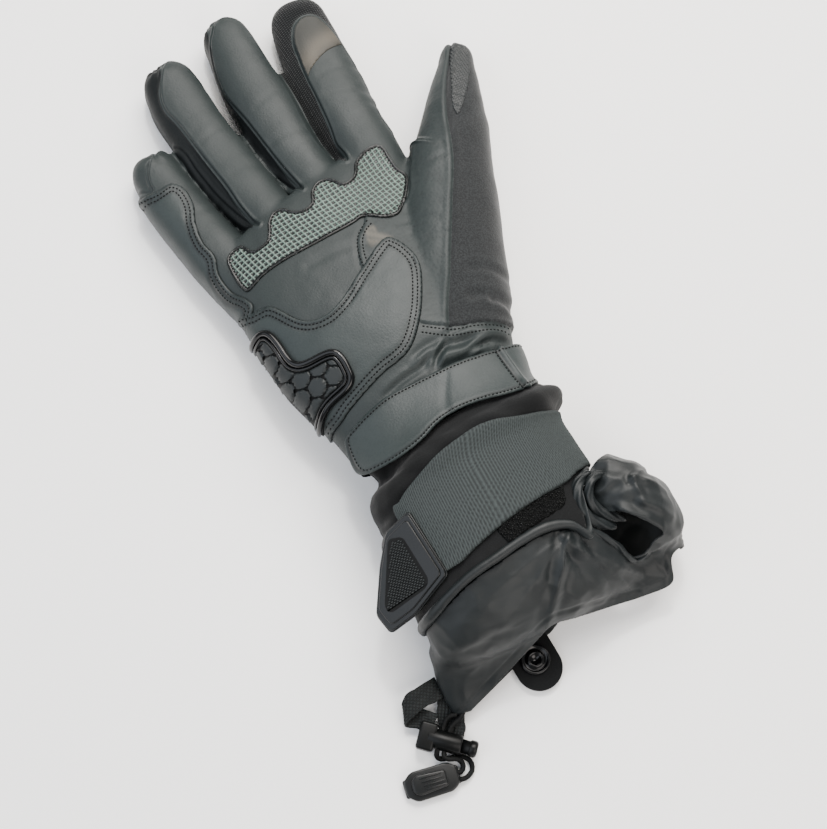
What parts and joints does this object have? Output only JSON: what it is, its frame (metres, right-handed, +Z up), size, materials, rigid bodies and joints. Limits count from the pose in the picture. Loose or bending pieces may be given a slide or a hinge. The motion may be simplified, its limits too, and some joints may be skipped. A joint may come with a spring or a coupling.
{
  "type": "insulated glove",
  "caption": "Right-hand insulated gauntlet glove, palm up, with leather fingers, hexagon palm slider, wrist strap, elastic cuff strap with pull tab, and a nylon skirt with a drawcord",
  "frame": {"origin": "on the surface that the glove lies on, under the middle of its box, measured without the drawcord and its pieces", "axes": "+Y towards the fingertips, +X towards the thumb, +Z up out of the palm"},
  "size_m": [0.1976, 0.3645, 0.0539],
  "materials": {
    "leather": "soft satin, fine grain",
    "worn_leather": "matte, rubbed",
    "gusset": "matte",
    "softshell": "matte, finely heathered",
    "embossed": "coated, pressed with a small basket pattern",
    "elastic": "ribbed, matte",
    "nylon": "plain weave with a soft sheen",
    "hook": "hook tape, dull",
    "rubber": "moulded, half gloss",
    "plastic": "fine texture"
  },
  "bodies": {
    "glove": {"hand_shell": "leather", "finger_little": "leather", "finger_ring": "leather", "side_panel_ring": "gusset", "finger_middle": "leather", "side_panel_middle": "gusset", "finger_index": "leather", "side_panel_index": "gusset", "thumb_leather": "leather", "thumb_fabric": "softshell", "knuckle_strip": "embossed", "little_overlay": "leather", "palm_overlay": "leather", "touch_patch": "worn_leather", "thumb_tip_patch": "rubber", "palm_slider": "rubber", "cuff": "softshell", "cuff_binding": "nylon", "wrist_strap": "leather", "elastic_strap": "elastic", "hook_patch": "hook", "pull_tab": "plastic", "pull_tab_panel": "rubber", "skirt": "nylon", "button_tab": "leather", "button": "plastic", "cord_lock": "plastic", "end_pull": "plastic", "drawcord_outer": "elastic", "drawcord_inner": "elastic", "webbing_loop": "elastic"},
    "lock_button": {"lock_button": "plastic"}
  },
  "joints": [
    {"name": "lock_press", "type": "slide", "parent": "glove", "child": "lock_button", "axis": [-0.7071, 0.7071, 0], "range_m": [0, 0.003], "stiffness_N_per_m": 250}
  ]
}
